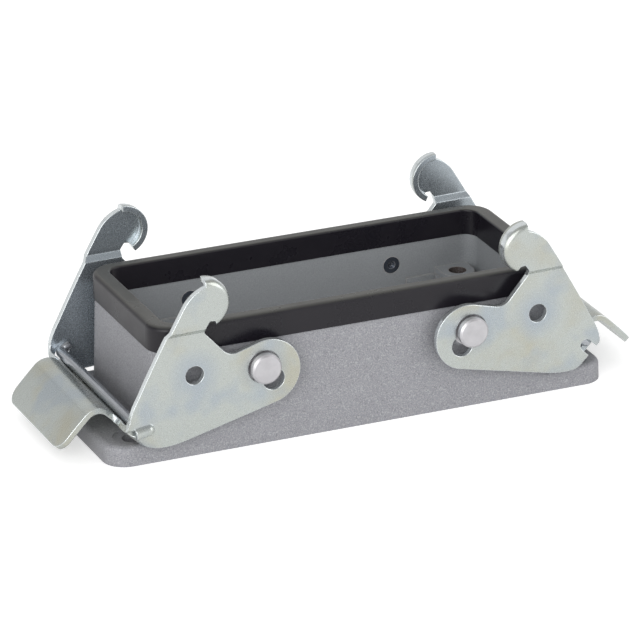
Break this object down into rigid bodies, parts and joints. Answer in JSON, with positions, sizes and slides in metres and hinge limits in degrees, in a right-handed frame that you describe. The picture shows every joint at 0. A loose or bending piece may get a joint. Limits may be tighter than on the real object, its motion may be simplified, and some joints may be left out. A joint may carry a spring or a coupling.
{
  "type": "rectangular connector housing",
  "caption": "Cast-metal base housing of a rectangular connector: an open screw-down box with a rubber rim seal and swinging sheet-steel locking levers at its ends.",
  "frame": {"origin": "middle of the mounting face, in the plane where the flange sits on the panel, at the centre of the four panel screw holes", "axes": "+Z out of the panel towards the mating hood, X along the housing, Y across it"},
  "size_m": [0.1363, 0.0514, 0.0414],
  "materials": {
    "housing_paint": "fine speckled grey paint on cast aluminium",
    "rim_rubber": "matt black moulded rubber",
    "panel_rubber": "matt black rubber",
    "pin_steel": "bright upset steel",
    "lever_zinc": "passivated zinc plate with a faint iridescence",
    "spring_steel": "bright drawn wire"
  },
  "bodies": {
    "base": {"housing": "housing_paint", "rim_seal": "rim_rubber", "panel_seal": "panel_rubber", "pivot_pin_left_front": "pin_steel", "pivot_pin_left_back": "pin_steel", "pivot_pin_right_front": "pin_steel", "pivot_pin_right_back": "pin_steel"},
    "left_lever_body": {"left_lever": "lever_zinc", "left_lever_spring": "spring_steel"},
    "right_lever_body": {"right_lever": "lever_zinc", "right_lever_spring": "spring_steel"}
  },
  "joints": [
    {"name": "left_lever_pivot", "type": "hinge", "parent": "base", "child": "left_lever_body", "pos_m": [-0.02425, 0, 0.0187], "axis": [0, 1, 0], "range_deg": [0, 46]},
    {"name": "right_lever_pivot", "type": "hinge", "parent": "base", "child": "right_lever_body", "pos_m": [0.02425, 0, 0.0187], "axis": [0, -1, 0], "range_deg": [-2, 44]}
  ]
}
